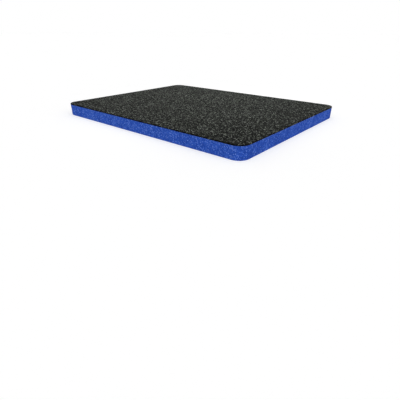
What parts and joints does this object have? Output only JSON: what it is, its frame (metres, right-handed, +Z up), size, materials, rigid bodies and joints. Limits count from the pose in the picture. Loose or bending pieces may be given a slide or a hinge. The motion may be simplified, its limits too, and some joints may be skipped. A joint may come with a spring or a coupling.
{
  "type": "foam case insert",
  "caption": "Flat rectangular foam case insert with rounded corners: a thin black foam sheet bonded over a thick blue foam slab, cut to fill one level of a protective case.",
  "frame": {"origin": "centre of the underside, at the middle of the outline", "axes": "+X along the length, +Y across the width, +Z up through the blue slab to the black face"},
  "size_m": [0.54, 0.418, 0.029],
  "materials": {
    "blue_foam": "cut closed-cell polyethylene foam, royal blue, matte with fine sparkle from cell walls",
    "black_foam": "closed-cell polyethylene foam, charcoal black, coarse matte grain with grey-green sparkle"
  },
  "bodies": {
    "root": {"blue_base": "blue_foam", "black_top_sheet": "black_foam"}
  },
  "joints": []
}
